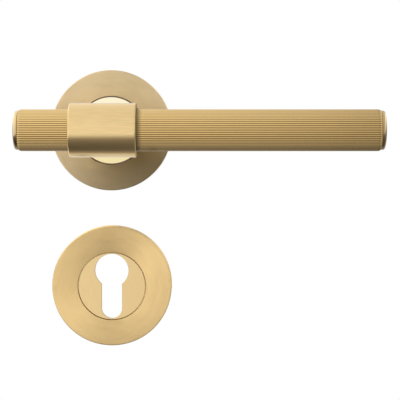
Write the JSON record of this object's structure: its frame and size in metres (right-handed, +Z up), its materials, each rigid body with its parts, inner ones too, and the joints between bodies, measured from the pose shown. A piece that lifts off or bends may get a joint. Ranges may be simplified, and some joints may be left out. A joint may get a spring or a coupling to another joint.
{
  "type": "door lever handle with round rose and escutcheon",
  "caption": "Fluted T-bar door lever handle on a sprung round rose, with a separate round escutcheon that has a euro-profile cylinder opening.",
  "frame": {"origin": "on the spindle's axis, in the plane of the door's face, which is the back of the rose base", "axes": "+Z up; the front faces -Y and the spindle points along +Y into the door; the lever's long arm lies along +X; the escutcheon is straight below the rose"},
  "size_m": [0.177, 0.129, 0.1415],
  "materials": {
    "fluted_brass": "satin",
    "brushed_brass": "satin",
    "cover_brass": "satin",
    "insert_brass": "satin",
    "polished_brass": "polished",
    "steel": "satin",
    "black_steel": "satin",
    "cast_alloy": "matte",
    "nylon": "satin"
  },
  "bodies": {
    "door_side": {"thrust_washer": "steel", "bearing_bush": "nylon", "return_spring": "steel", "stop_pin": "steel", "spring_cover": "steel", "rose_base": "cast_alloy", "rose_cover": "cover_brass", "rose_snap_ring": "steel", "rose_screws": "steel", "escutcheon_cover": "cover_brass", "escutcheon_insert": "insert_brass", "escutcheon_base": "cast_alloy", "escutcheon_snap_ring": "steel", "escutcheon_screws": "steel"},
    "lever": {"lever_tube": "fluted_brass", "tube_nut": "steel", "end_cap_left": "polished_brass", "end_cap_right": "polished_brass", "collar": "brushed_brass", "neck": "polished_brass", "neck_screw": "black_steel", "spindle": "steel", "spindle_set_screw": "black_steel", "spring_cam": "steel", "retaining_ring": "black_steel"}
  },
  "joints": [
    {"name": "lever_turn", "type": "hinge", "parent": "door_side", "child": "lever", "pos_m": [0, 0, 0], "axis": [0, 1, 0], "range_deg": [0, 45], "stiffness_Nm_per_rad": 0.9, "springref_deg": -45.84, "deforming": ["return_spring"]}
  ]
}
